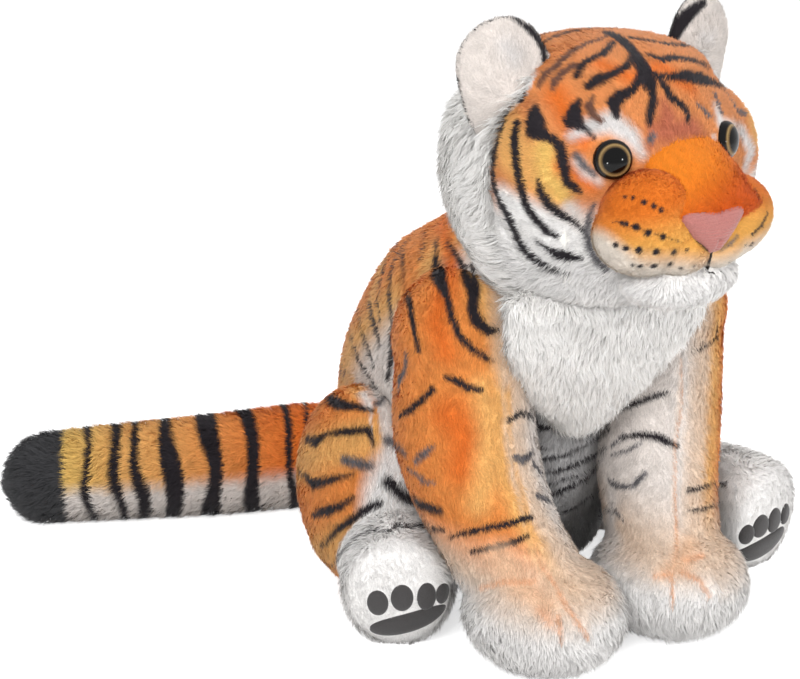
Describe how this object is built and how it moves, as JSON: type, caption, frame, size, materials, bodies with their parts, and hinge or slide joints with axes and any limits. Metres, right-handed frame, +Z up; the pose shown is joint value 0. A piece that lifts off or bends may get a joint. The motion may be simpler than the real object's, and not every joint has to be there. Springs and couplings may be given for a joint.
{
  "type": "plush tiger",
  "caption": "Seated plush tiger cub: turning head, swinging legs, folding ears and a long tail lying round to its right; striped faux fur over fibre stuffing, plastic safety eyes.",
  "frame": {"origin": "middle of the flat seat under the torso, on the ground", "axes": "+Z up; the tiger's torso faces -Y and its left side is +X"},
  "size_m": [0.4444, 0.4566, 0.3864],
  "materials": {
    "striped_fur": "soft pile",
    "white_fur": "long pile",
    "black_fur": "soft pile",
    "short_pile": "short pile",
    "nose_velour": "ribbed velour",
    "pad_fabric": "short pile",
    "black_thread": "thread",
    "fibre_fill": "loose fibre",
    "cotton": "plain weave",
    "eye_lens": "gloss",
    "black_plastic": "gloss"
  },
  "bodies": {
    "torso": {"torso_skin": "striped_fur", "torso_stuffing": "fibre_fill", "seat_pellet_bag": "cotton", "chest_bib": "white_fur"},
    "head": {"face_skin": "striped_fur", "ruff_skin": "white_fur", "head_stuffing": "fibre_fill", "muzzle_bridge": "short_pile", "whisker_pad_right": "short_pile", "whisker_pad_left": "short_pile", "chin": "white_fur", "nose": "nose_velour", "mouth_stitch": "black_thread", "eye_lens_right": "eye_lens", "eye_lens_left": "eye_lens", "eye_back_right": "black_plastic", "eye_back_left": "black_plastic", "eye_washer_right": "black_plastic", "eye_washer_left": "black_plastic"},
    "ear_right": {"ear_front_right": "white_fur", "ear_back_right": "black_fur"},
    "ear_left": {"ear_front_left": "white_fur", "ear_back_left": "black_fur"},
    "front_leg_right": {"front_leg_right_skin": "striped_fur", "front_leg_right_stuffing": "fibre_fill"},
    "front_leg_left": {"front_leg_left_skin": "striped_fur", "front_leg_left_stuffing": "fibre_fill"},
    "hind_leg_right": {"hind_leg_right_skin": "striped_fur", "hind_leg_right_stuffing": "fibre_fill", "toe_pad_1_right": "pad_fabric", "toe_pad_2_right": "pad_fabric", "toe_pad_3_right": "pad_fabric", "toe_pad_4_right": "pad_fabric", "main_pad_right": "pad_fabric"},
    "hind_leg_left": {"hind_leg_left_skin": "striped_fur", "hind_leg_left_stuffing": "fibre_fill", "toe_pad_1_left": "pad_fabric", "toe_pad_2_left": "pad_fabric", "toe_pad_3_left": "pad_fabric", "toe_pad_4_left": "pad_fabric", "main_pad_left": "pad_fabric"},
    "tail": {"tail_skin": "striped_fur", "tail_stuffing": "fibre_fill"}
  },
  "joints": [
    {"name": "head_turn", "type": "hinge", "parent": "torso", "child": "head", "pos_m": [0, -0.09, 0.232], "axis": [0, -0.2588, 0.9659], "range_deg": [-20, 20], "stiffness_Nm_per_rad": 1},
    {"name": "ear_right_fold", "type": "hinge", "parent": "head", "child": "ear_right", "pos_m": [-0.05878, -0.139, 0.3192], "axis": [0.9873, -0.1582, 0.0133], "range_deg": [-12, 12], "stiffness_Nm_per_rad": 0.05},
    {"name": "ear_left_fold", "type": "hinge", "parent": "head", "child": "ear_left", "pos_m": [0.06105, -0.13294, 0.32082], "axis": [0.9663, 0.2571, 0.0132], "range_deg": [-12, 12], "stiffness_Nm_per_rad": 0.05},
    {"name": "front_leg_right_swing", "type": "hinge", "parent": "torso", "child": "front_leg_right", "pos_m": [-0.064, -0.093, 0.185], "axis": [1, 0, 0], "range_deg": [-25, 0], "stiffness_Nm_per_rad": 0.6},
    {"name": "front_leg_left_swing", "type": "hinge", "parent": "torso", "child": "front_leg_left", "pos_m": [0.08, -0.093, 0.185], "axis": [1, 0, 0], "range_deg": [-25, 0], "stiffness_Nm_per_rad": 0.6},
    {"name": "hind_leg_right_splay", "type": "hinge", "parent": "torso", "child": "hind_leg_right", "pos_m": [-0.092, -0.016, 0.0665], "axis": [0, 0, 1], "range_deg": [-20, 0], "stiffness_Nm_per_rad": 0.6},
    {"name": "hind_leg_left_splay", "type": "hinge", "parent": "torso", "child": "hind_leg_left", "pos_m": [0.092, -0.016, 0.0665], "axis": [0, 0, 1], "range_deg": [0, 20], "stiffness_Nm_per_rad": 0.6},
    {"name": "tail_swing", "type": "hinge", "parent": "torso", "child": "tail", "pos_m": [-0.008, 0.088, 0.0325], "axis": [0, 0, 1], "range_deg": [-15, 15], "stiffness_Nm_per_rad": 0.5}
  ]
}
